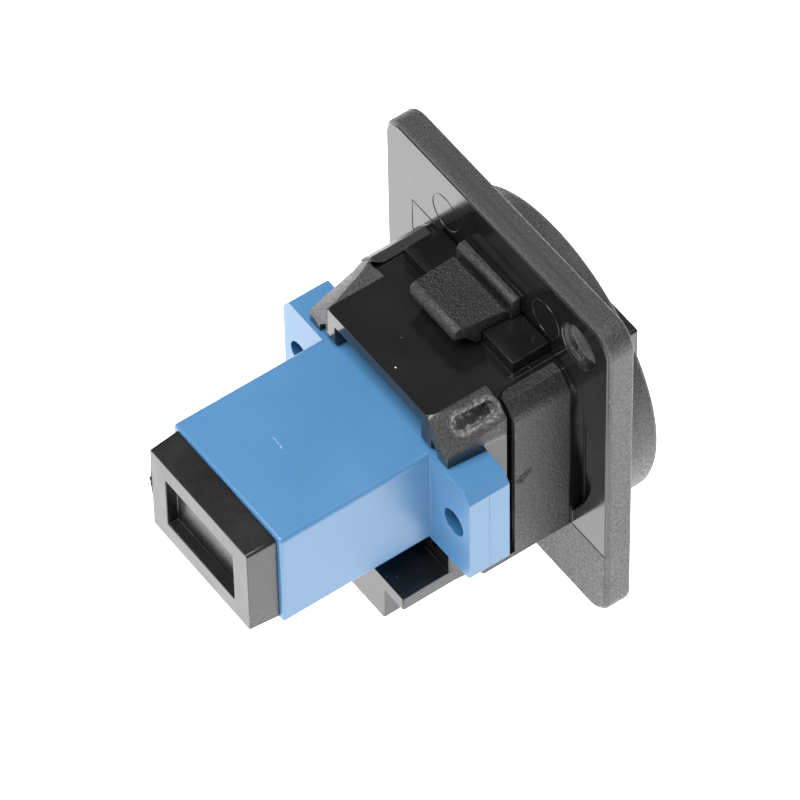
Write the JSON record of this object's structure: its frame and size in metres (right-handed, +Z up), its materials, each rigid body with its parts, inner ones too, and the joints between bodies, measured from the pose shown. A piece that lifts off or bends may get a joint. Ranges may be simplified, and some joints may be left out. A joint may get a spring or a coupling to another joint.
{
  "type": "fibre optic adapter",
  "caption": "Panel feed-through coupler for push-pull fibre plugs: a blue coupler in a carrier that clips into a flanged frame, with dust caps.",
  "frame": {"origin": "middle of the flange's rear face, at the centre of the two fixing holes", "axes": "+Y to the rear along the plug direction, +Z up along the flange's long side, +X to the right seen from the front"},
  "size_m": [0.026, 0.0332, 0.031],
  "materials": {
    "frame_plastic": "spark-eroded matte black outside, polished on the rear face",
    "carrier_plastic": "polished black",
    "coupler_plastic": "satin blue",
    "insert_plastic": "natural moulded",
    "sleeve_ceramic": "ground white ceramic",
    "cap_plastic": "smooth black"
  },
  "bodies": {
    "adapter": {"front_frame": "frame_plastic", "carrier": "carrier_plastic", "rear_coupler_housing": "coupler_plastic", "front_coupler_housing": "coupler_plastic", "rear_latch_insert": "insert_plastic", "front_latch_insert": "insert_plastic", "split_sleeve": "sleeve_ceramic"},
    "rear_cap": {"rear_dust_cap": "cap_plastic"},
    "front_cap": {"front_dust_cap": "cap_plastic"}
  },
  "joints": [
    {"name": "rear_cap_pull", "type": "slide", "parent": "adapter", "child": "rear_cap", "axis": [0, 1, 0], "range_m": [0, 0.04]},
    {"name": "front_cap_pull", "type": "slide", "parent": "adapter", "child": "front_cap", "axis": [0, -1, 0], "range_m": [0, 0.04]}
  ]
}
